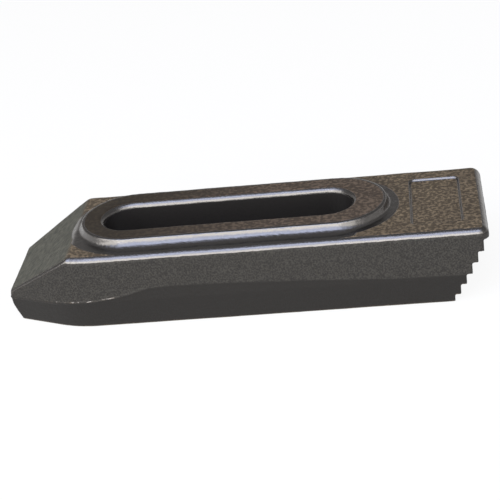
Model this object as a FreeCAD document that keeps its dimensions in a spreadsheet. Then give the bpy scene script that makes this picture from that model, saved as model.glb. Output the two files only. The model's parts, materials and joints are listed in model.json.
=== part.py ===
import FreeCAD, Part
import math
import os

import Sketcher

# Step clamp: a drop-forged slotted strap whose heel is cut into steps. It is one piece of steel.
#
# Frame: X runs along the strap, with the nose at -X and the stepped heel at +X, Y is across it
# and Z is up. The origin is on the flat underside, below the middle of the overall length.
# Sizes are in millimetres and degrees. The driving sizes live in the spreadsheet "Sizes".

Vector = FreeCAD.Vector

# ---------------------------------------------------------------- driving sizes
SIZES = [
    # the forging: two dies meet at the parting line, and every wall leans away from it
    ("length", 152.4, "overall, nose tip to heel lip"),
    ("body_width", 49.1, "across the parting line, the widest level"),
    ("body_height", 24.0, "underside to the flat top"),
    ("parting_height", 8.9, "underside to the parting line"),
    ("draft_angle", 5.5, "lean of the forged walls from upright"),
    ("heel_corner_radius", 4.4, "plan corners of the heel, at the parting line"),
    # nose: tapers in plan and slopes down to a blunt tip
    ("nose_length", 22.2, "tip to the flat top"),
    ("tip_width", 30.5, "across the blunt tip, at the parting line"),
    ("tip_height", 10.6, "underside to the upper edge of the blunt tip"),
    ("chin_height", 5.4, "underside to where the tip starts to lean back"),
    ("chin_lean", 24.0, "lean of the tip's lower part from upright"),
    ("shoulder_radius", 34.0, "plan bend between the nose and the straight side"),
    ("crest_radius", 3.0, "bend between the nose slope and the flat top"),
    # slot for the stud
    ("slot_inset", 9.1, "front of the flat top to the front end of the slot"),
    ("slot_setback", 41.2, "heel lip to the rear end of the slot"),
    ("slot_width", 17.5, "side to side, clears a 5/8 in or M16 stud"),
    ("slot_rim_radius", 2.0, "rounding of the upper slot rim"),
    ("slot_under_radius", 0.5, "rounding of the lower slot rim"),
    # collar round the slot, which the nut bears on
    ("collar_front_wall", 7.3, "slot to the front end of the collar top"),
    ("collar_rear_wall", 10.7, "slot to the rear end of the collar top"),
    ("collar_side_wall", 7.7, "slot to the side of the collar top"),
    ("collar_height", 2.6, "flat top to collar top"),
    ("collar_lean", 20.0, "lean of the collar wall from upright"),
    ("collar_root", 1.5, "how far the collar wall reaches below the flat top, at the nose slope"),
    ("collar_sweep", 3.9, "radius between the collar's long walls and the flat top"),
    ("collar_end_sweep", 0.8, "the same radius round the collar's two ends"),
    ("collar_end_turn", 100.0, "how much of each round end's half turn has the end radius"),
    # stepped heel, which catches on the steps of a step block
    ("step_run", 1.92, "depth of one tread"),
    ("step_rise", 3.58, "height of one step"),
    ("lip_height", 3.6, "flat top to the uppermost tread"),
    # sunk panel on the flat top, near the heel
    ("panel_setback", 15.3, "heel lip to the middle of the panel"),
    ("panel_length", 15.9, "along the strap, at the flat top"),
    ("panel_width", 32.2, "across the strap, at the flat top"),
    ("panel_depth", 0.8, "flat top to the panel floor"),
    ("panel_lean", 28.0, "lean of the panel walls from upright"),
    ("panel_corner_radius", 1.6, "plan corners of the panel, at the flat top"),
    # rounded outer edges
    ("top_edge_radius", 2.6, "outer edges of the flat top"),
    ("nose_edge_radius", 1.7, "side edges of the nose slope, next to the flat top"),
    ("tip_edge_radius", 0.6, "upper edge of the blunt tip, and what the nose edges narrow to there"),
    ("under_edge_radius", 0.7, "outer edges of the underside"),
]

# Cutting sketches run this far past the surfaces that they open on.
CLEARANCE = 2.0

COLLAR_TOP = "Sizes.body_height + Sizes.collar_height"

# Two places nearer than this are the same one.
TOUCH = 0.01

# As many treads as fit between the lip and the rounded edge of the underside, with as much again
# of the lowest riser left upright.
TREADS = (
    "(floor((Sizes.body_height - Sizes.lip_height - 2 * Sizes.under_edge_radius) / Sizes.step_rise) + 1)"
)


def make_sheet(doc):
    """Write name, value and meaning in columns A, B and C, and give each value its alias."""
    sheet = doc.addObject("Spreadsheet::Sheet", "Sizes")
    for row, (alias, value, meaning) in enumerate(SIZES, 1):
        sheet.set("A%d" % row, alias)
        sheet.set("B%d" % row, str(value))
        sheet.set("C%d" % row, meaning)
        sheet.setAlias("B%d" % row, alias)
    doc.recompute()
    return sheet


# ---------------------------------------------------------------- sketch helpers
def new_sketch(body, name, role, height=None):
    """A sketch on one of the body's own origin planes, lifted off it by an expression."""
    plane = [item for item in body.Origin.OriginFeatures if item.Role == role][0]
    sketch = body.newObject("Sketcher::SketchObject", name)
    sketch.AttachmentSupport = [(plane, "")]
    sketch.MapMode = "FlatFace"
    if height:
        sketch.setExpression(".AttachmentOffset.Base.z", height)
    return sketch


def add_chain(sketch, pieces):
    """Add a closed chain of lines and arcs: corners between lines meet, arcs run tangent."""
    first = sketch.GeometryCount
    for piece in pieces:
        sketch.addGeometry(piece, False)
    for number, piece in enumerate(pieces):
        following = (number + 1) % len(pieces)
        both_lines = isinstance(piece, Part.LineSegment) and isinstance(pieces[following], Part.LineSegment)
        kind = "Coincident" if both_lines else "Tangent"
        sketch.addConstraint(Sketcher.Constraint(kind, first + number, 2, first + following, 1))


def arc(centre_x, centre_y, radius, start, end):
    """An arc drawn from one angle to the other, both in degrees, anticlockwise."""
    circle = Part.Circle(Vector(centre_x, centre_y, 0), Vector(0, 0, 1), radius)
    return Part.ArcOfCircle(circle, math.radians(start), math.radians(end))


def line(start, end):
    return Part.LineSegment(Vector(start[0], start[1], 0), Vector(end[0], end[1], 0))


def rounded_outline(corners):
    """Lines and arcs of a convex outline, its corners given anticlockwise as (x, y, radius)."""
    count = len(corners)
    points = [Vector(x, y, 0) for x, y, radius in corners]
    headings = [(points[(number + 1) % count] - points[number]).normalize() for number in range(count)]
    bends, starts, ends = [], [], []
    for number, (x, y, radius) in enumerate(corners):
        arriving, leaving = headings[number - 1], headings[number]
        turn = arriving.getAngle(leaving)
        cut_back = radius * math.tan(turn / 2)
        starts.append(points[number] + leaving * cut_back)
        ends.append(points[number] - arriving * cut_back)
        centre = starts[number] + Vector(-leaving.y, leaving.x, 0) * radius
        angle = math.degrees(math.atan2(leaving.y, leaving.x)) - 90
        bends.append(radius and arc(centre.x, centre.y, radius, angle - math.degrees(turn), angle))
    pieces = []
    for number in range(count):
        following = (number + 1) % count
        pieces.append(line(starts[number], ends[following]))
        if bends[following]:
            pieces.append(bends[following])
    return pieces


def value_of(sketch, expression):
    """What an expression over the spreadsheet comes to."""
    return FreeCAD.Units.Quantity(sketch.evalExpression(expression)).Value


def dimension(sketch, name, expression, kind, *places):
    """Add one sizing constraint, name it and bind it to the spreadsheet."""
    size = value_of(sketch, expression)
    if kind == "Angle":
        size = math.radians(size)
    index = sketch.addConstraint(Sketcher.Constraint(kind, *places, size))
    sketch.renameConstraint(index, name)
    sketch.setExpression("Constraints." + name, expression)


def rules(sketch, *constraints):
    for constraint in constraints:
        sketch.addConstraint(Sketcher.Constraint(*constraint))


# ---------------------------------------------------------------- sketches
def draw_plan(body, sheet):
    """Outline of the forging at the parting line, seen from above."""
    front, rear = -sheet.length / 2, sheet.length / 2
    shoulder = front + sheet.nose_length
    half_tip, half_width = sheet.tip_width / 2, sheet.body_width / 2
    sketch = new_sketch(body, "PlanOutline", "XY_Plane", "Sizes.parting_height")
    add_chain(sketch, rounded_outline([
        (front, -half_tip, 0),
        (shoulder, -half_width, sheet.shoulder_radius),
        (rear, -half_width, sheet.heel_corner_radius),
        (rear, half_width, sheet.heel_corner_radius),
        (shoulder, half_width, sheet.shoulder_radius),
        (front, half_tip, 0),
    ]))
    near_nose, near_bend, near_side, near_corner, heel = range(5)
    far_corner, far_side, far_bend, far_nose, tip = range(5, 10)
    # the sharp corners that the shoulder bends round off
    near_shoulder = sketch.addGeometry(Part.Point(Vector(shoulder, -half_width, 0)), True)
    far_shoulder = sketch.addGeometry(Part.Point(Vector(shoulder, half_width, 0)), True)
    rules(sketch,
          ("PointOnObject", near_shoulder, 1, near_nose),
          ("PointOnObject", near_shoulder, 1, near_side),
          ("PointOnObject", far_shoulder, 1, far_nose),
          ("PointOnObject", far_shoulder, 1, far_side),
          ("Symmetric", near_shoulder, 1, far_shoulder, 1, -1),
          ("Symmetric", tip, 1, tip, 2, -1),
          ("Horizontal", near_side),
          ("Horizontal", far_side),
          ("Vertical", heel),
          ("Equal", near_bend, far_bend),
          ("Equal", near_corner, far_corner))
    dimension(sketch, "TipPosition", "Sizes.length / 2",
              "DistanceX", tip, 2, -1, 1)
    dimension(sketch, "NoseLength", "Sizes.nose_length",
              "DistanceX", tip, 2, near_shoulder, 1)
    # the lip's rear wall leans forwards as it rises, and meets the first tread at half the length
    dimension(sketch, "HeelPosition",
              "Sizes.length / 2 + (Sizes.body_height - Sizes.lip_height - Sizes.parting_height)"
              " * tan(Sizes.draft_angle * 1 deg)",
              "DistanceX", -1, 1, heel, 1)
    dimension(sketch, "TipWidth", "Sizes.tip_width",
              "DistanceY", tip, 2, tip, 1)
    dimension(sketch, "BodyWidth", "Sizes.body_width",
              "DistanceY", near_side, 1, far_side, 2)
    dimension(sketch, "ShoulderRadius", "Sizes.shoulder_radius",
              "Radius", near_bend)
    dimension(sketch, "HeelCornerRadius", "Sizes.heel_corner_radius",
              "Radius", near_corner)
    return sketch


def draw_stadium(body, name, front_wall="0", rear_wall="0", side_wall="0", end_turn=None):
    """The slot's round-ended outline at the collar top, or one that lies outside it by given walls.

    Each round end is one arc, or three where end_turn gives the turn of the middle one.
    """
    sketch = new_sketch(body, name, "XY_Plane", COLLAR_TOP)
    radius = "(Sizes.slot_width / 2 + %s)" % side_wall
    front = "Sizes.length / 2 - Sizes.nose_length - Sizes.slot_inset + %s - %s" % (front_wall, radius)
    rear = "Sizes.length / 2 - Sizes.slot_setback + %s - %s" % (rear_wall, radius)
    size, front_x, rear_x = value_of(sketch, radius), -value_of(sketch, front), value_of(sketch, rear)
    turns = [-90, 90]
    if end_turn:
        half = value_of(sketch, end_turn) / 2
        turns = [-90, -half, half, 90]
    rear_arcs = [arc(rear_x, 0, size, start, end) for start, end in zip(turns, turns[1:])]
    front_arcs = [arc(front_x, 0, size, start + 180, end + 180) for start, end in zip(turns, turns[1:])]
    near_side = line((front_x, -size), (rear_x, -size))
    far_side = line((rear_x, size), (front_x, size))
    add_chain(sketch, [near_side, *rear_arcs, far_side, *front_arcs])
    first_rear, first_front = 1, 2 + len(rear_arcs)
    rear_middle, front_middle = (first + len(rear_arcs) // 2 for first in (first_rear, first_front))
    rules(sketch,
          ("PointOnObject", rear_middle, 3, -1),
          ("PointOnObject", front_middle, 3, -1),
          ("Equal", rear_middle, front_middle))
    dimension(sketch, "FrontCentre", front, "DistanceX", front_middle, 3, -1, 1)
    dimension(sketch, "RearCentre", rear, "DistanceX", -1, 1, rear_middle, 3)
    dimension(sketch, "EndRadius", radius, "Radius", rear_middle)
    if end_turn:
        for end, middle in (("Rear", rear_middle), ("Front", front_middle)):
            rules(sketch,
                  ("Equal", middle - 1, middle),
                  ("Equal", middle + 1, middle),
                  ("Vertical", middle, 1, middle, 2))
            dimension(sketch, end + "Turn", end_turn, "Angle", middle)
    return sketch


def draw_nose_slope(body):
    """Side view of what lies above the sloping nose."""
    sketch = new_sketch(body, "NoseSlope", "XZ_Plane")
    add_chain(sketch, [
        line((-76, 10), (-54, 23)),
        line((-54, 23), (-54, 26)),
        line((-54, 26), (-76, 26)),
        line((-76, 26), (-76, 10)),
    ])
    slope, front_of_top, above, front_of_tip = range(4)
    rules(sketch,
          ("Vertical", front_of_top),
          ("Horizontal", above),
          ("Vertical", front_of_tip))
    dimension(sketch, "TipPosition", "Sizes.length / 2",
              "DistanceX", slope, 1, -1, 1)
    dimension(sketch, "TipHeight", "Sizes.tip_height",
              "DistanceY", -1, 1, slope, 1)
    dimension(sketch, "NoseLength", "Sizes.nose_length",
              "DistanceX", slope, 1, slope, 2)
    dimension(sketch, "BodyHeight", "Sizes.body_height",
              "DistanceY", -1, 1, slope, 2)
    rules(sketch, ("DistanceY", slope, 2, above, 1, CLEARANCE))
    return sketch


def draw_chin(body):
    """Side view of what lies in front of the tip's lower part, which leans back to the underside."""
    sketch = new_sketch(body, "Chin", "XZ_Plane")
    add_chain(sketch, [
        line((-76, 6), (-78, 6)),
        line((-78, 6), (-78, -2)),
        line((-78, -2), (-72, -2)),
        line((-72, -2), (-76, 6)),
    ])
    above, in_front, below, lean = range(4)
    rules(sketch,
          ("Horizontal", above),
          ("Vertical", in_front),
          ("Horizontal", below),
          ("DistanceX", above, 2, above, 1, CLEARANCE),
          ("DistanceY", below, 1, -1, 1, CLEARANCE))
    dimension(sketch, "ChinHeight", "Sizes.chin_height",
              "DistanceY", -1, 1, lean, 2)
    # the tip's own draft has set it back a little where the chin starts
    dimension(sketch, "ChinPosition",
              "Sizes.length / 2 - (Sizes.parting_height - Sizes.chin_height) * tan(Sizes.draft_angle * 1 deg)",
              "DistanceX", lean, 2, -1, 1)
    dimension(sketch, "ChinLean", "(Sizes.chin_height + %s) * tan(Sizes.chin_lean * 1 deg)" % CLEARANCE,
              "DistanceX", lean, 2, lean, 1)
    return sketch


def draw_step(body):
    """Side view of the uppermost step cut, with the line that the others follow."""
    sketch = new_sketch(body, "HeelStep", "XZ_Plane")
    add_chain(sketch, [
        line((74, -2), (90, -2)),
        line((90, -2), (90, 20)),
        line((90, 20), (74, 20)),
        line((74, 20), (74, -2)),
    ])
    below, behind, tread, riser = range(4)
    rules(sketch,
          ("Horizontal", below),
          ("Vertical", behind),
          ("Horizontal", tread),
          ("Vertical", riser),
          ("DistanceY", below, 1, -1, 1, CLEARANCE))
    dimension(sketch, "RiserPosition", "Sizes.length / 2 - Sizes.step_run",
              "DistanceX", -1, 1, riser, 1)
    dimension(sketch, "TreadHeight", "Sizes.body_height - Sizes.lip_height",
              "DistanceY", -1, 1, riser, 1)
    dimension(sketch, "CutLength", "(%s + 2) * Sizes.step_run" % TREADS,
              "DistanceX", tread, 2, tread, 1)
    pitch = sketch.addGeometry(line((74, 20), (72, 16)), True)
    rules(sketch, ("Coincident", pitch, 1, riser, 1))
    dimension(sketch, "StepRun", "Sizes.step_run",
              "DistanceX", pitch, 2, pitch, 1)
    dimension(sketch, "StepRise", "Sizes.step_rise",
              "DistanceY", pitch, 2, pitch, 1)
    return sketch


def draw_panel(body, sheet):
    """Outline of the sunk panel at the flat top."""
    rear_end = sheet.length / 2 - sheet.panel_setback + sheet.panel_length / 2
    front_end = rear_end - sheet.panel_length
    half_width = sheet.panel_width / 2
    sketch = new_sketch(body, "PanelOutline", "XY_Plane", "Sizes.body_height")
    add_chain(sketch, rounded_outline([
        (front_end, -half_width, sheet.panel_corner_radius),
        (rear_end, -half_width, sheet.panel_corner_radius),
        (rear_end, half_width, sheet.panel_corner_radius),
        (front_end, half_width, sheet.panel_corner_radius),
    ]))
    near, near_rear, rear, far_rear, far, far_front, front, near_front = range(8)
    rules(sketch,
          ("Horizontal", near),
          ("Horizontal", far),
          ("Vertical", front),
          ("Symmetric", rear, 1, rear, 2, -1),
          ("Equal", near_rear, far_rear),
          ("Equal", near_rear, far_front),
          ("Equal", near_rear, near_front))
    dimension(sketch, "PanelRear", "Sizes.length / 2 - Sizes.panel_setback + Sizes.panel_length / 2",
              "DistanceX", -1, 1, rear, 1)
    dimension(sketch, "PanelLength", "Sizes.panel_length",
              "DistanceX", front, 1, rear, 2)
    dimension(sketch, "PanelWidth", "Sizes.panel_width",
              "DistanceY", near, 1, far, 2)
    dimension(sketch, "PanelCorner", "Sizes.panel_corner_radius",
              "Radius", near_rear)
    return sketch


# ---------------------------------------------------------------- feature helpers
def set_sizes(feature, **expressions):
    for name, expression in expressions.items():
        feature.setExpression(name, expression)


def check(feature, grows=None, before=None):
    """Recompute, and stop if the feature failed or moved the volume the wrong way."""
    feature.Document.recompute()
    if "Invalid" in feature.State or "Error" in feature.State:
        raise RuntimeError(feature.Name + " failed: " + str(feature.State))
    if feature.Shape.isNull() or not feature.Shape.isValid():
        raise RuntimeError(feature.Name + " has no valid shape")
    if before is not None:
        change = feature.Shape.Volume - before.Shape.Volume
        if (change > 0) != grows or abs(change) < 1e-3:
            raise RuntimeError("%s changed the volume by %.3f" % (feature.Name, change))
    return feature


def face_normal(face, point):
    u, v = face.Surface.parameter(point)
    return face.normalAt(u, v)


def edges_where(shape, test):
    """Names of the edges for which test(midpoint, normal of one face, normal of the other) holds."""
    names = []
    for number, edge in enumerate(shape.Edges, 1):
        faces = shape.ancestorsOfType(edge, Part.Face)
        if len(faces) != 2:
            continue
        middle = edge.valueAt((edge.FirstParameter + edge.LastParameter) / 2)
        if test(middle, face_normal(faces[0], middle), face_normal(faces[1], middle)):
            names.append("Edge%d" % number)
    return names


def round_edges(body, base, name, radius, test):
    names = edges_where(base.Shape, test)
    if not names:
        raise RuntimeError(name + " found no edges")
    fillet = body.newObject("PartDesign::Fillet", name)
    fillet.Base = (base, names)
    fillet.setExpression("Radius", radius)
    return check(fillet)


# ---------------------------------------------------------------- the forging
def steep(normal):
    return abs(normal.z) < 0.3


def is_crest(middle, one, other):
    """Between the flat top and the nose slope."""
    return min(one.z, other.z) > 0.5 and max(one.z, other.z) > 0.999


def is_top_edge(middle, one, other):
    """Between an outer wall and the flat top, the crest bend or the nose slope."""
    return max(one.z, other.z) > 0.5 and (steep(one) or steep(other))


def is_under_edge(middle, one, other):
    """Between a drafted wall and the underside; the lowest riser stays sharp."""
    return min(one.z, other.z) < -0.999 and -0.3 < max(one.z, other.z) < -0.01


def reach(sheet, point):
    """How far a point lies outside the slot, measured level with it."""
    radius = sheet.slot_width / 2
    front_centre = sheet.nose_length + sheet.slot_inset + radius - sheet.length / 2
    rear_centre = sheet.length / 2 - sheet.slot_setback - radius
    beyond = max(front_centre - point.x, point.x - rear_centre, 0)
    return math.hypot(beyond, point.y) - radius


def make_forging(doc, sheet):
    body = doc.addObject("PartDesign::Body", "ClampStrap")
    body.Label = "forging_before_rounding"

    # the drafted block: from the parting line up to the flat top and down to the underside
    block = body.newObject("PartDesign::Pad", "ForgedBlock")
    block.Profile = (draw_plan(body, sheet), [])
    block.SideType = "Two sides"
    set_sizes(block,
              Length="Sizes.body_height - Sizes.parting_height",
              Length2="Sizes.parting_height",
              TaperAngle="-Sizes.draft_angle",
              TaperAngle2="-Sizes.draft_angle")
    check(block)

    nose = body.newObject("PartDesign::Pocket", "NoseCut")
    nose.Profile = (draw_nose_slope(body), [])
    nose.SideType = "Symmetric"
    nose.Type = "ThroughAll"
    check(nose, False, block)

    chin = body.newObject("PartDesign::Pocket", "ChinCut")
    chin.Profile = (draw_chin(body), [])
    chin.SideType = "Symmetric"
    chin.Type = "ThroughAll"
    check(chin, False, nose)

    step = body.newObject("PartDesign::Pocket", "StepCut")
    step_sketch = draw_step(body)
    step.Profile = (step_sketch, [])
    step.SideType = "Symmetric"
    step.Type = "ThroughAll"
    check(step, False, chin)

    steps = body.newObject("PartDesign::LinearPattern", "HeelSteps")
    steps.Originals = [step]
    steps.Direction = (step_sketch, ["Axis0"])
    steps.Mode = "Spacing"
    set_sizes(steps,
              Offset="sqrt(Sizes.step_run ^ 2 + Sizes.step_rise ^ 2) * 1 mm",
              Occurrences=TREADS)
    body.Tip = steps
    check(steps, False, step)

    crest = round_edges(body, steps, "CrestBend", "Sizes.crest_radius", is_crest)
    under_edges = round_edges(body, crest, "UnderEdges", "Sizes.under_edge_radius", is_under_edge)

    # collar round the slot
    collar = body.newObject("PartDesign::Pad", "Collar")
    collar_outline = draw_stadium(body, "CollarOutline", "Sizes.collar_front_wall", "Sizes.collar_rear_wall",
                                  "Sizes.collar_side_wall", "Sizes.collar_end_turn * 1 deg")
    collar.Profile = (collar_outline, [])
    collar.Reversed = True
    set_sizes(collar,
              Length="Sizes.collar_height + Sizes.collar_root",
              TaperAngle="Sizes.collar_lean")
    check(collar, True, under_edges)

    slot = body.newObject("PartDesign::Pocket", "Slot")
    slot.Profile = (draw_stadium(body, "SlotOutline"), [])
    slot.Type = "ThroughAll"
    check(slot, False, collar)

    def is_slot_rim(middle, one, other):
        return abs(reach(sheet, middle)) < TOUCH and middle.z > sheet.body_height

    def is_slot_under_rim(middle, one, other):
        return abs(reach(sheet, middle)) < TOUCH and middle.z < TOUCH

    rim = round_edges(body, slot, "SlotRim", "Sizes.slot_rim_radius", is_slot_rim)
    under_rim = round_edges(body, rim, "SlotUnderRim", "Sizes.slot_under_radius", is_slot_under_rim)

    panel = body.newObject("PartDesign::Pocket", "Panel")
    panel.Profile = (draw_panel(body, sheet), [])
    set_sizes(panel,
              Length="Sizes.panel_depth",
              TaperAngle="-Sizes.panel_lean")
    check(panel, False, under_rim)
    return body


def collar_sweep(sheet):
    """The sweep beside the collar, limited by the flat land between it and the rounded outer edge."""
    lean = math.radians(sheet.collar_lean)
    draft = math.radians(sheet.draft_angle)
    foot = sheet.slot_width / 2 + sheet.collar_side_wall + sheet.collar_height * math.tan(lean)
    edge = sheet.body_width / 2 - (sheet.body_height - sheet.parting_height) * math.tan(draft)
    edge_share = sheet.top_edge_radius * math.tan((math.pi / 2 - draft) / 2)
    room = edge - edge_share - foot - TOUCH
    return min(sheet.collar_sweep, room / math.tan((math.pi / 2 - lean) / 2))


def round_top(doc, sheet, body):
    """The roundings whose radius changes on the way: the collar's foot and the outer top edges."""
    walls = sheet.collar_front_wall, sheet.collar_rear_wall, sheet.collar_side_wall
    run_out = (sheet.collar_height + sheet.collar_root) * math.tan(math.radians(sheet.collar_lean))

    def is_collar_foot(middle, one, other):
        """Between the collar wall, which leans little, and the flat top or the crest bend."""
        low = sheet.body_height - sheet.collar_root < middle.z < sheet.body_height + TOUCH
        beside = min(walls) < reach(sheet, middle) < max(walls) + run_out
        return low and beside and min(one.z, other.z) < 0.5 < max(one.z, other.z)

    def foot_radius(point):
        """The wide sweep where a long wall ends, and the narrow one along the middle of a round end."""
        beside_long_wall = abs(point.y) > sheet.slot_width / 2 + sheet.collar_side_wall
        return float(collar_sweep(sheet) if beside_long_wall else sheet.collar_end_sweep)

    def top_edge_radius(point):
        """Widest beside the flat top, less down the nose, and least at the blunt tip."""
        if point.z > sheet.body_height - TOUCH:
            return float(sheet.top_edge_radius)
        at_tip = point.x < CLEARANCE - sheet.length / 2
        return float(sheet.tip_edge_radius if at_tip else sheet.nose_edge_radius)

    edges = []
    for test, radius_at in ((is_collar_foot, foot_radius), (is_top_edge, top_edge_radius)):
        for name in edges_where(body.Shape, test):
            number = int(name.removeprefix("Edge"))
            edge = body.Shape.Edges[number - 1]
            edges.append((number, *(radius_at(edge.valueAt(place)) for place in edge.ParameterRange)))
    rounded = doc.addObject("Part::Fillet", "TopRoundings")
    rounded.Label = "clamp_strap"
    rounded.Base = body
    rounded.Edges = edges
    return check(rounded)


def main():
    doc = FreeCAD.newDocument("StepClamp")
    sheet = make_sheet(doc)
    strap = round_top(doc, sheet, make_forging(doc, sheet))
    doc.recompute()
    for item in doc.Objects:
        if "Invalid" in item.State or "Error" in item.State:
            raise RuntimeError(item.Name + " failed: " + str(item.State))
    if strap.Shape.isNull() or not strap.Shape.isValid() or len(strap.Shape.Solids) != 1:
        raise RuntimeError("the strap is not one valid solid")
    print("volume %.0f mm3" % strap.Shape.Volume, "box", strap.Shape.optimalBoundingBox())
    os.makedirs("parts", exist_ok=True)
    strap.Shape.exportStep("parts/" + strap.Label + ".step")


main()
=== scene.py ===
import json
import math

import bpy
import numpy as np
from mathutils import Matrix, Vector


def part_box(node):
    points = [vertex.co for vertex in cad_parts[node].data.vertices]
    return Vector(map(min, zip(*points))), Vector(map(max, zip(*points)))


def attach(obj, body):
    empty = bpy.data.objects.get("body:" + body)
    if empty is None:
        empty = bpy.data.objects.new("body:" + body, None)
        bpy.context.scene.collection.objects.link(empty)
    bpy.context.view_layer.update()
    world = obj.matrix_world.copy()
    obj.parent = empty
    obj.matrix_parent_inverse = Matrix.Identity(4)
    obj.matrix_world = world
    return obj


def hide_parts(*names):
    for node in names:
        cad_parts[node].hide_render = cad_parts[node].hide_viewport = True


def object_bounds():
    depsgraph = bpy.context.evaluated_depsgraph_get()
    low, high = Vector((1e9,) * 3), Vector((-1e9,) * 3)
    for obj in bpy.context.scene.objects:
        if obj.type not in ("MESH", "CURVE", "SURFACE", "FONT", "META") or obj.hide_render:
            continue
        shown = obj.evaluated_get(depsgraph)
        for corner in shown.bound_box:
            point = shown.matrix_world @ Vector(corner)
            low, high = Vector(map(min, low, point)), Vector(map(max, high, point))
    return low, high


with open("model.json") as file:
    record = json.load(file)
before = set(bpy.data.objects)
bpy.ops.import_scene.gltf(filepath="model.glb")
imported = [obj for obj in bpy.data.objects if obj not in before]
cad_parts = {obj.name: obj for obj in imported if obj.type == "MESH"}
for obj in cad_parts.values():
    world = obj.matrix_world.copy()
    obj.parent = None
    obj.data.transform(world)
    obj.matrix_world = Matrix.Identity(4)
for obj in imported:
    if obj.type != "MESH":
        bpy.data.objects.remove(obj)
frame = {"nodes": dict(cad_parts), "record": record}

# Step clamp: a drop-forged strap of oil-blackened steel. The CAD solid is covered by one skin of
# the same form, with the forging's uneven surface, its trimmed flash line and its wear.
# The frame is the CAD's: X along the strap, nose at -X, Z up, in metres. The skin is worked on in
# millimetres, in numpy arrays.

CAD_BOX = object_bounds()
MM = 0.001
NODE = "clamp_strap"

# ---------------------------------------------------------------- sizes read from the frame, in mm
LOW, HIGH = (np.array(corner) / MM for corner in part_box(NODE))
MOUNTS = {mount["name"]: mount for mount in frame["record"]["mounts"]}
SLOT = MOUNTS["stud_slot"]
SLOT_RADIUS = SLOT["dims"]["hole_r_mm"]
SLOT_MIDDLE = SLOT["pos_m"][0] / MM
SLOT_HALF_RUN = SLOT["dims"]["slot_length_mm"] / 2 - SLOT_RADIUS
TOP_TREAD = max(mount["pos_m"][2] / MM for name, mount in MOUNTS.items() if "tread" in name)

# ---------------------------------------------------------------- sizes as the CAD has them, in mm
COLLAR_HEIGHT = 2.6
COLLAR_SIDE_WALL = 7.7
COLLAR_FRONT_WALL = 7.3
COLLAR_REAR_WALL = 10.7
TIP_HEIGHT = 10.6
NOSE_LENGTH = 22.2
FLAT_TOP = HIGH[2] - COLLAR_HEIGHT
CREST = LOW[0] + NOSE_LENGTH
SLOPE_RISE = FLAT_TOP - TIP_HEIGHT
SLOPE_NORMAL = np.array([-SLOPE_RISE, 0.0, NOSE_LENGTH]) / math.hypot(SLOPE_RISE, NOSE_LENGTH)

# ---------------------------------------------------------------- zones of the surface
# A fade is where a zone starts and where it is full, in mm from the place that it belongs to. A tilt
# is the same for the share of the normal that points up, down or back. A band holds a low end, a
# high end and the soft distance outside them.
SLOT_FADE = (0.05, 0.5)
SLOT_TILT = (0.2, 0.5)
SLOT_MARGIN = 1.0
SIDE_TILT = (0.3, 0.55)
FLASH_FADE = (-0.3, 0.5)
FLAT_TOP_MARGIN = 0.3
UNDER_TILT = (0.6, 0.9)
UNDER_HEIGHT = 1.0
HEEL_START = HIGH[0] - 14.0
HEEL_FADE = (0.0, 0.5)
HEEL_MARGIN = 0.5
RISER_TILT = (0.7, 0.9)
TREAD_TILT = (0.5, 0.8)
SLOPE_FADE = (-1.5, 0.5)
SLOPE_TILT = (0.6, 0.8)
SLOPE_MARGIN = 1.0
COLLAR_TOP_FADE = (-0.5, -0.2)
COLLAR_EDGE_FADE = (-0.5, 0.3)
COLLAR_WALL_BAND = (-0.2, 3.2, 1.2)
RIM_BAND = (0.0, 1.0, 0.35)
RIM_FADE = (-2.0, -1.2)
EDGE_TILT_BAND = (0.26, 0.93, 0.05)
EDGE_LOWEST = 9.0
EDGE_COLLAR_GAP = 2.0
LAND_TILT = (0.8, 0.95)
LAND_BAND = (1.0, 5.0, 0.6)
LAND_RUN_BAND = (CREST, 34.0, 4.0)
TOPS_FROM = FLAT_TOP - 2.5
ZONES = ("slot", "side", "upper", "under", "heel", "slope", "collar_top", "collar_wall", "rim",
         "edge", "land")

# ---------------------------------------------------------------- the skin, in mm
VOXEL = 0.33
MOST_TRIANGLES = 190000

# layers of noise: wavelength, depth and seed
SWELL = ((9.0, 0.06, 1), (3.5, 0.035, 2))
PEBBLE = ((1.3, 0.028, 3), (0.8, 0.018, 4))
# how much of the pebbled skin shows everywhere, and how much more on two zones
PEBBLE_SHARE = 0.35
PEBBLE_UPPER = 0.65
PEBBLE_COLLAR = 0.5
# how much the slot, the underside and the steps lose of each
SWELL_LOSS = 0.75
PEBBLE_LOSS = 0.8

# the flash line: distance behind the tip, and height; it arches up behind the nose
FLASH_LINE = ((0.0, 8.5), (14.0, 8.8), (30.0, 9.5), (38.0, 10.6), (47.0, 12.8), (54.0, 13.1),
              (75.0, 12.6), (94.0, 11.7), (123.0, 10.0), (152.0, 9.6))
FLASH_RIDGE = 0.20
FLASH_RIDGE_WIDTH = 0.28
FLASH_STEP = 0.05
FLASH_STEP_FADE = (-0.2, 0.3)
# the ridge is whole at the nose and faint behind it
FLASH_FAINT = 0.3
FLASH_FAINT_FADE = (30.0, 48.0)

# ---------------------------------------------------------------- the camera
CAMERA_AZIMUTH = math.radians(7.65)
CAMERA_ELEVATION = math.radians(27.0)
CAMERA_ROLL = math.radians(7.80)
CAMERA_DISTANCE = 0.4809
AIM = Vector((0.00012, 0.0, 0.0119))
LENS_MM = 107.2
SENSOR_MM = 36.0
SHIFT = (0.0030, -0.0048)
NEAREST_SEEN = 0.01

# ---------------------------------------------------------------- the stage and the lights
FLOOR_HALF = 1.5
FLOOR_GAP = 0.0001
FLOOR_GREY = (0.9, 0.9, 0.9, 1.0)
FLOOR_GLOW = (1.0, 1.0, 1.0, 1.0)
FLOOR_GLOW_SHARE = 0.9
STUDIO_WHITE = (1.0, 0.98, 0.96, 1.0)
# the studio's brightness falls from low to high as a ray's rise goes from the first to the second
STUDIO_RISE = (0.05, 0.35)
STUDIO_LOW, STUDIO_HIGH = 0.85, 0.28

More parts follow.
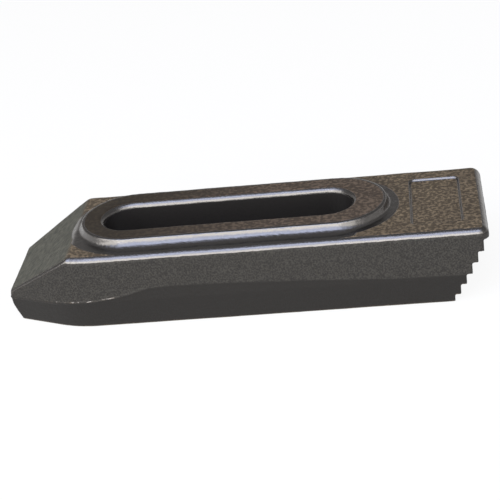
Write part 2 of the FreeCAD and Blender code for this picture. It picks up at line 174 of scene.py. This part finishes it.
# Panels stand side by side, so that the light wraps round the front of the clamp: name, azimuth and
# radiance. Each is a warm key panel with a cool one above it, given by elevations and a width.
PANELS = (("left", -52.0, 3.2), ("front", -12.0, 4.0), ("right", 28.0, 2.6))
KEY_SPAN = (8.0, 45.0)
KEY_WIDTH = 40.0
KEY_WHITE = (1.0, 0.98, 0.94)
COOL_SPAN = (45.0, 76.0)
COOL_WIDTH = 36.0
COOL_WHITE = (0.78, 0.88, 1.2)


# ---------------------------------------------------------------- numpy helpers
def blend_in(value, start, end):
    """0 before start, 1 after end, and smooth between them."""
    part = np.clip((value - start) / (end - start), 0.0, 1.0)
    return part * part * (3.0 - 2.0 * part)


def blend_in_at(place, fade, value):
    """Like blend_in, with the fade's start and end measured from a place."""
    return blend_in(value, place + fade[0], place + fade[1])


def within(value, low, high, soft):
    """1 between low and high, falling to 0 over the soft distance outside them."""
    return blend_in(value, low - soft, low) * (1.0 - blend_in(value, high, high + soft))


# The lattice of the noise is turned, so that it doesn't line up with the flat faces.
TURN = np.array(Matrix.Rotation(0.7, 3, Vector((1.0, 2.0, 3.0)).normalized()))


def noise(points, wavelength, seed):
    """Smooth noise from -1 to 1 with bumps of the given size."""
    scaled = points @ TURN / wavelength
    cells = np.floor(scaled).astype(int)
    part = scaled - cells
    part = part * part * (3.0 - 2.0 * part)
    cells -= cells.min(axis=0)
    table = np.random.default_rng(seed).uniform(-1.0, 1.0, cells.max(axis=0) + 2)
    total = np.zeros(len(points))
    for corner in np.ndindex(2, 2, 2):
        weight = np.prod(np.where(corner, part, 1.0 - part), axis=1)
        total += weight * table[tuple((cells + corner).T)]
    return total


def layered(points, layers):
    """Layers of noise added up, each a wavelength, a depth and a seed."""
    return sum(depth * noise(points, wavelength, seed) for wavelength, depth, seed in layers)


def reach(points):
    """How far each point lies outside the slot, measured level with it."""
    beyond = np.maximum(np.abs(points[:, 0] - SLOT_MIDDLE) - SLOT_HALF_RUN, 0.0)
    return np.hypot(beyond, points[:, 1]) - SLOT_RADIUS


def collar_reach(points):
    """How far each point lies outside the edge of the collar top, measured level with it."""
    radius = SLOT_RADIUS + COLLAR_SIDE_WALL
    front = SLOT_MIDDLE - SLOT_HALF_RUN - SLOT_RADIUS - COLLAR_FRONT_WALL + radius
    rear = SLOT_MIDDLE + SLOT_HALF_RUN + SLOT_RADIUS + COLLAR_REAR_WALL - radius
    beyond = np.maximum(np.maximum(front - points[:, 0], points[:, 0] - rear), 0.0)
    return np.hypot(beyond, points[:, 1]) - radius


def flash_height(along):
    """Height of the trimmed flash line on the long sides."""
    stations, heights = zip(*FLASH_LINE)
    return np.interp(along - LOW[0], stations, heights)


# ---------------------------------------------------------------- the skin
def read_points(mesh):
    points = np.empty(len(mesh.vertices) * 3)
    mesh.vertices.foreach_get("co", points)
    return points.reshape(-1, 3) / MM


def read_normals(mesh):
    normals = np.empty(len(mesh.vertices) * 3, dtype=np.float32)
    mesh.vertex_normals.foreach_get("vector", normals)
    return normals.reshape(-1, 3).astype(float)


def apply_modifiers(piece):
    graph = bpy.context.evaluated_depsgraph_get()
    mesh = bpy.data.meshes.new_from_object(piece.evaluated_get(graph))
    piece.modifiers.clear()
    piece.data = mesh
    return mesh


def find_zones(points, normals):
    """How much each point belongs to each zone of the clamp, 0 to 1."""
    along, across, height = points.T
    back, up = normals[:, 0], normals[:, 2]
    slot_gap, collar_gap = reach(points), collar_reach(points)
    outer = slot_gap > SLOT_MARGIN
    below_collar = height < FLAT_TOP + FLAT_TOP_MARGIN
    zones = {}
    zones["slot"] = (1.0 - blend_in(slot_gap, *SLOT_FADE)) * (1.0 - blend_in(up, *SLOT_TILT))
    zones["side"] = outer * (1.0 - blend_in(np.abs(up), *SIDE_TILT)) * below_collar
    zones["upper"] = zones["side"] * blend_in_at(flash_height(along), FLASH_FADE, height)
    zones["under"] = blend_in(-up, *UNDER_TILT) * (height < UNDER_HEIGHT)

    stepped = np.maximum(blend_in(back, *RISER_TILT), blend_in(-up, *TREAD_TILT))
    zones["heel"] = blend_in_at(HEEL_START, HEEL_FADE, along) * stepped
    zones["heel"] *= height < TOP_TREAD + HEEL_MARGIN
    zones["slope"] = (1.0 - blend_in_at(CREST, SLOPE_FADE, along)) * blend_in(up, *SLOPE_TILT)

    zones["collar_top"] = blend_in_at(HIGH[2], COLLAR_TOP_FADE, height)
    zones["collar_top"] *= 1.0 - blend_in(collar_gap, *COLLAR_EDGE_FADE)
    zones["collar_wall"] = within(collar_gap, *COLLAR_WALL_BAND) * (height > TOPS_FROM)
    zones["rim"] = within(slot_gap, *RIM_BAND) * blend_in_at(HIGH[2], RIM_FADE, height)

    facing_up = np.maximum(up, (normals @ SLOPE_NORMAL) * (along < CREST + SLOPE_MARGIN))
    zones["edge"] = outer * within(facing_up, *EDGE_TILT_BAND) * (height > EDGE_LOWEST)
    zones["edge"] *= (collar_gap > EDGE_COLLAR_GAP) * below_collar
    zones["land"] = blend_in(up, *LAND_TILT) * within(collar_gap, *LAND_BAND) * (across < 0.0)
    zones["land"] *= within(along, *LAND_RUN_BAND) * (height > TOPS_FROM)
    return zones


def shape_surface(points, normals, zones):
    """How far each point moves out along its normal, in millimetres."""
    plain = np.clip(zones["slot"] + zones["under"] + zones["heel"], 0.0, 1.0)
    move = layered(points, SWELL) * (1.0 - SWELL_LOSS * plain)
    share = PEBBLE_SHARE + PEBBLE_UPPER * zones["upper"] + PEBBLE_COLLAR * zones["collar_wall"]
    move += layered(points, PEBBLE) * share * (1.0 - PEBBLE_LOSS * plain)

    along, height = points[:, 0], points[:, 2]
    flash_gap = height - flash_height(along)
    near_nose = 1.0 - blend_in(along - LOW[0], *FLASH_FAINT_FADE)
    strength = FLASH_FAINT + (1.0 - FLASH_FAINT) * near_nose
    ridge = FLASH_RIDGE * np.exp(-(flash_gap / FLASH_RIDGE_WIDTH) ** 2) * strength
    ridge += FLASH_STEP * (1.0 - blend_in(flash_gap, *FLASH_STEP_FADE)) * strength
    move += ridge * zones["side"]
    return move


def add_skin():
    mesh = frame["nodes"][NODE].data.copy()
    mesh.materials.clear()
    skin = bpy.data.objects.new("forged_skin", mesh)
    bpy.context.scene.collection.objects.link(skin)
    remesh = skin.modifiers.new("even", "REMESH")
    remesh.mode = "VOXEL"
    remesh.voxel_size = VOXEL * MM
    mesh = apply_modifiers(skin)

    points, normals = read_points(mesh), read_normals(mesh)
    zones = find_zones(points, normals)
    moved = points + normals * shape_surface(points, normals, zones)[:, None]
    mesh.vertices.foreach_set("co", (moved * MM).ravel())
    mesh.update()

    triangles = sum(len(polygon.vertices) - 2 for polygon in mesh.polygons)
    decimate = skin.modifiers.new("lighten", "DECIMATE")
    decimate.ratio = min(1.0, MOST_TRIANGLES / triangles)
    mesh = apply_modifiers(skin)

    zones = find_zones(read_points(mesh), read_normals(mesh))
    for name in ZONES:
        layer = mesh.attributes.new(name, "FLOAT", "POINT")
        layer.data.foreach_set("value", zones[name].astype(np.float32))
    mesh.polygons.foreach_set("use_smooth", [True] * len(mesh.polygons))
    mesh.materials.append(forged_steel())
    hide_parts(NODE)
    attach(skin, "root")
    return skin


# ---------------------------------------------------------------- material graph helpers
class Graph:
    """Short names for the nodes that the material is built from."""

    def __init__(self, tree):
        self.tree = tree
        tree.nodes.clear()

    def node(self, kind, inputs=None, **settings):
        made = self.tree.nodes.new(kind)
        for name, value in settings.items():
            setattr(made, name, value)
        for name, value in (inputs or {}).items():
            self.feed(made.inputs[name], value)
        return made

    def feed(self, socket, value):
        if isinstance(value, bpy.types.NodeSocket):
            self.tree.links.new(value, socket)
        else:
            socket.default_value = value

    def math(self, operation, *values):
        return self.node("ShaderNodeMath", dict(enumerate(values)), operation=operation).outputs[0]

    def chain(self, operation, values):
        total = values[0]
        for value in values[1:]:
            total = self.math(operation, total, value)
        return total

    def add(self, *values):
        return self.chain("ADD", values)

    def times(self, *values):
        return self.chain("MULTIPLY", values)

    def most(self, *values):
        return self.chain("MAXIMUM", values)

    def ramp(self, value, low, high, start=0.0, end=1.0):
        """Start below low, end above high, and smooth between them."""
        return self.node("ShaderNodeMapRange", {0: value, 1: low, 2: high, 3: start, 4: end},
                         interpolation_type="SMOOTHSTEP").outputs[0]

    def mix(self, factor, one, other):
        """From one colour to the other."""
        made = self.node("ShaderNodeMix", data_type="RGBA")
        self.feed(made.inputs[0], factor)
        self.feed(made.inputs[6], one)
        self.feed(made.inputs[7], other)
        return made.outputs[2]

    def blend(self, factor, one, other):
        """From one number to the other."""
        made = self.node("ShaderNodeMix", data_type="FLOAT")
        self.feed(made.inputs[0], factor)
        self.feed(made.inputs[2], one)
        self.feed(made.inputs[3], other)
        return made.outputs[0]

    def attribute(self, name):
        return self.node("ShaderNodeAttribute", attribute_name=name).outputs["Fac"]

    def noise(self, vector, size_mm, detail=2.0, roughness=0.5):
        """Noise with bumps about size_mm across, from 0 to 1."""
        return self.node("ShaderNodeTexNoise", {
            "Vector": vector, "Scale": 1.0 / (size_mm * MM), "Detail": detail,
            "Roughness": roughness}).outputs["Fac"]

    def stretched(self, vector, scale, turn):
        """The same coordinates, turned and then scaled along each axis."""
        turned = self.node("ShaderNodeMapping", {"Vector": vector, "Rotation": turn}).outputs[0]
        return self.node("ShaderNodeMapping", {"Vector": turned, "Scale": scale}).outputs[0]


def srgb(red, green, blue):
    """A linear colour from 0-255 display values."""
    parts = []
    for value in (red, green, blue):
        part = value / 255.0
        parts.append(part / 12.92 if part <= 0.04045 else ((part + 0.055) / 1.055) ** 2.4)
    return (*parts, 1.0)


# ---------------------------------------------------------------- the steel
# each pair of colours is mixed by noise, or from the collar's front end to its rear end
FLAT_BROWNS = srgb(98, 86, 70), srgb(120, 106, 86)
# the collar top's brown scale, darker at its front end and lighter towards its rear, where the
# lightening is a painted sheen
COLLAR_BROWNS_AND_SHEEN = srgb(52, 45, 35), srgb(92, 79, 67)
PIT = srgb(34, 28, 22)
# painted shade and light: the lower band of the sides is darker and the upper band lighter, as light
# falls on them, and the upper band's lighter speckles are painted glints
SHADED_LOWER_SIDE = srgb(30, 28, 26)
LIT_UPPER_SIDES = srgb(34, 32, 30), srgb(52, 50, 46)
SLOPE_GREYS = srgb(50, 50, 43), srgb(80, 79, 69)
# painted shade in the slot and on the underside, and the steps' own black finish
HOLLOW_SHADE_AND_STEP_BLACK = srgb(20, 18, 18)
BARE_STEEL = srgb(111, 109, 108)

# noise: size of its bumps in mm, detail and roughness
FINE_NOISE = (0.5, 3.0, 0.6)
GRAIN_NOISE = (1.1, 2.0, 0.55)
PATCH_NOISE = (9.0, 3.0, 0.6)
GRINDING_NOISE = (0.6, 3.0)
GRINDING_STRETCH = (1.0, 0.08, 1.0)
GRINDING_TURN = (0.0, 0.0, 0.6)
# where a ramp of noise starts and ends
SOFT_RAMP = (0.35, 0.65)
UPPER_SIDE_GLINT_RAMP = (0.4, 0.62)
PIT_RAMP = (0.50, 0.68)
MOST_PIT = 0.7
PATCH_IN_PITS = 0.25
COLLAR_SHEEN_RUN = (-45.0 * MM, 20.0 * MM)
FINE_IN_POLISH = 0.5

ROUGHNESS = {"flat": 0.6, "side": 0.45, "polished": 0.27}
BUMP_STRENGTH = {"flat": 0.5, "side": 0.7}
BUMP_DEPTH = 0.12
FINE_IN_BUMP = 0.35
SPECULAR_LEVEL = 0.25


def scale_and_sheen_colour(g, place, zone, grain):
    """Brown scale with dark pits, lighter behind the collar; the collar top is darker at its front
    end and lighter towards its rear, a painted sheen.
    """
    along = g.node("ShaderNodeSeparateXYZ", {0: place}).outputs[0]
    patch = g.noise(place, *PATCH_NOISE)
    flat_brown = g.mix(g.ramp(patch, *SOFT_RAMP), *FLAT_BROWNS)
    collar_brown_and_sheen = g.mix(g.ramp(along, *COLLAR_SHEEN_RUN), *COLLAR_BROWNS_AND_SHEEN)
    brown = g.mix(zone["collar_top"], flat_brown, collar_brown_and_sheen)
    pits = g.ramp(g.add(grain, g.times(patch, PATCH_IN_PITS)), *PIT_RAMP, 0.0, MOST_PIT)
    return g.mix(pits, brown, PIT)


def skin_colour_and_shade(g, place, zone, fine, grain):
    """The forging's colour before its edges wore bright, with painted shade and light on the sides,
    painted shade in the slot and underneath, and the collar's painted sheen.
    """
    # painted shade on the sides below the flash line, painted light and painted glint speckles above
    # it
    colour = g.mix(zone["side"], scale_and_sheen_colour(g, place, zone, grain), SHADED_LOWER_SIDE)
    lit_upper_side = g.mix(g.ramp(fine, *UPPER_SIDE_GLINT_RAMP), *LIT_UPPER_SIDES)
    colour = g.mix(zone["upper"], colour, lit_upper_side)
    grinding = g.noise(g.stretched(place, GRINDING_STRETCH, GRINDING_TURN), *GRINDING_NOISE)
    colour = g.mix(zone["slope"], colour, g.mix(g.ramp(grinding, *SOFT_RAMP), *SLOPE_GREYS))
    # near black: painted shade in the slot and underneath, black finish on the steps
    shade_and_step_black = g.add(zone["slot"], zone["heel"], zone["under"])
    return g.mix(g.math("MINIMUM", shade_and_step_black, 1.0), colour, HOLLOW_SHADE_AND_STEP_BLACK)


def polished_share(g, zone, fine):
    """1 where the steel is worn bright: the collar's wall, the slot's rim, the edges and the land."""
    worn = g.most(zone["collar_wall"], zone["rim"], zone["edge"], zone["land"])
    worn = g.times(worn, g.math("SUBTRACT", 1.0, zone["side"]))
    speckle = g.times(g.math("SUBTRACT", fine, 0.5), FINE_IN_POLISH)
    return g.ramp(g.add(worn, speckle), *SOFT_RAMP)


def forged_steel():
    material = bpy.data.materials.new("forged_steel_black")
    material.use_nodes = True
    g = Graph(material.node_tree)
    place = g.node("ShaderNodeTexCoord").outputs["Object"]
    zone = {name: g.attribute(name) for name in ZONES}
    fine = g.noise(place, *FINE_NOISE)
    grain = g.noise(place, *GRAIN_NOISE)

    polished = polished_share(g, zone, fine)
    colour = g.mix(polished, skin_colour_and_shade(g, place, zone, fine, grain), BARE_STEEL)
    dull = g.blend(zone["side"], ROUGHNESS["flat"], ROUGHNESS["side"])
    roughness = g.blend(polished, dull, ROUGHNESS["polished"])

    height = g.add(g.times(fine, FINE_IN_BUMP), grain)
    strength = g.blend(zone["side"], BUMP_STRENGTH["flat"], BUMP_STRENGTH["side"])
    bump = g.node("ShaderNodeBump", {
        "Height": g.times(height, strength), "Distance": BUMP_DEPTH * MM, "Strength": 1.0})
    shader = g.node("ShaderNodeBsdfPrincipled", {
        "Base Color": colour, "Metallic": polished, "Roughness": roughness,
        "Normal": bump.outputs[0], "Specular IOR Level": SPECULAR_LEVEL})
    g.node("ShaderNodeOutputMaterial", {"Surface": shader.outputs[0]})
    return material


# ---------------------------------------------------------------- stage, light and camera
def background_share(g):
    """1 for camera, mirror and glass rays, which all see the plain white background."""
    path = g.node("ShaderNodeLightPath")
    seen = g.add(path.outputs["Is Camera Ray"], path.outputs["Is Glossy Ray"],
                 path.outputs["Is Transmission Ray"])
    return g.math("MINIMUM", seen, 1.0)


def pale_floor():
    material = bpy.data.materials.new("pale_floor")
    material.use_nodes = True
    g = Graph(material.node_tree)
    matt = g.node("ShaderNodeBsdfDiffuse", {"Color": FLOOR_GREY}).outputs[0]
    glow = g.node("ShaderNodeEmission", {"Color": FLOOR_GLOW, "Strength": 1.0}).outputs[0]
    share = g.times(background_share(g), FLOOR_GLOW_SHARE)
    mixed = g.node("ShaderNodeMixShader", {0: share, 1: matt, 2: glow}).outputs[0]
    g.node("ShaderNodeOutputMaterial", {"Surface": mixed})
    return material


def add_floor():
    half = FLOOR_HALF
    corners = [(-half, -half, 0), (half, -half, 0), (half, half, 0), (-half, half, 0)]
    mesh = bpy.data.meshes.new("floor")
    mesh.from_pydata(corners, [], [(0, 1, 2, 3)])
    mesh.materials.append(pale_floor())
    floor = bpy.data.objects.new("floor", mesh)
    floor.location.z = CAD_BOX[0][2] - FLOOR_GAP
    bpy.context.scene.collection.objects.link(floor)


def add_world():
    """A plain studio: pale low down, dim overhead."""
    world = bpy.data.worlds.new("studio")
    world.use_nodes = True
    g = Graph(world.node_tree)
    direction = g.node("ShaderNodeTexCoord").outputs["Generated"]
    rise = g.node("ShaderNodeSeparateXYZ", {0: direction}).outputs[2]
    strength = g.ramp(rise, *STUDIO_RISE, STUDIO_LOW, STUDIO_HIGH)
    lit = g.node("ShaderNodeBackground", {"Color": STUDIO_WHITE, "Strength": strength}).outputs[0]
    g.node("ShaderNodeOutputWorld", {"Surface": lit})
    bpy.context.scene.world = world


def add_strip(name, azimuth, span, width, radiance, colour, distance=1.0):
    """A soft strip light between two elevations, as seen from the clamp; angles in degrees."""
    low, high = span
    middle = math.radians((low + high) / 2)
    half_height = distance * math.tan(math.radians(high - low) / 2)
    half_width = distance * math.tan(math.radians(width) / 2)
    turn = math.radians(azimuth)
    towards = Vector((math.sin(turn) * math.cos(middle), -math.cos(turn) * math.cos(middle),
                      math.sin(middle)))
    data = bpy.data.lights.new(name, "AREA")
    data.shape = "RECTANGLE"
    data.size = 2 * half_width
    data.size_y = 2 * half_height
    # an area light's power is its radiance times its area times pi
    data.energy = radiance * math.pi * data.size * data.size_y
    data.color = colour
    lamp = bpy.data.objects.new(name, data)
    lamp.location = AIM + towards * distance
    lamp.rotation_euler = towards.to_track_quat("Z", "Y").to_euler()
    lamp.visible_camera = False
    bpy.context.scene.collection.objects.link(lamp)


def add_lights():
    for name, azimuth, radiance in PANELS:
        add_strip("key_" + name, azimuth, KEY_SPAN, KEY_WIDTH, radiance, KEY_WHITE)
        add_strip("cool_" + name, azimuth, COOL_SPAN, COOL_WIDTH, radiance / 2, COOL_WHITE)


def add_camera():
    az, el, roll = CAMERA_AZIMUTH, CAMERA_ELEVATION, CAMERA_ROLL
    back = Vector((math.sin(az) * math.cos(el), -math.cos(az) * math.cos(el), math.sin(el)))
    level_right = Vector((math.cos(az), math.sin(az), 0.0))
    level_up = back.cross(level_right)
    right = level_right * math.cos(roll) - level_up * math.sin(roll)
    up = level_right * math.sin(roll) + level_up * math.cos(roll)
    data = bpy.data.cameras.new("camera")
    data.lens = LENS_MM
    data.sensor_width = SENSOR_MM
    data.shift_x, data.shift_y = SHIFT
    data.clip_start = NEAREST_SEEN
    camera = bpy.data.objects.new("camera", data)
    bpy.context.scene.collection.objects.link(camera)
    turn = Matrix((right, up, back)).transposed().to_4x4()
    camera.matrix_world = Matrix.Translation(AIM + back * CAMERA_DISTANCE) @ turn
    bpy.context.scene.camera = camera


add_skin()
add_floor()
add_world()
add_lights()
add_camera()
bpy.context.scene.view_settings.view_transform = "Standard"
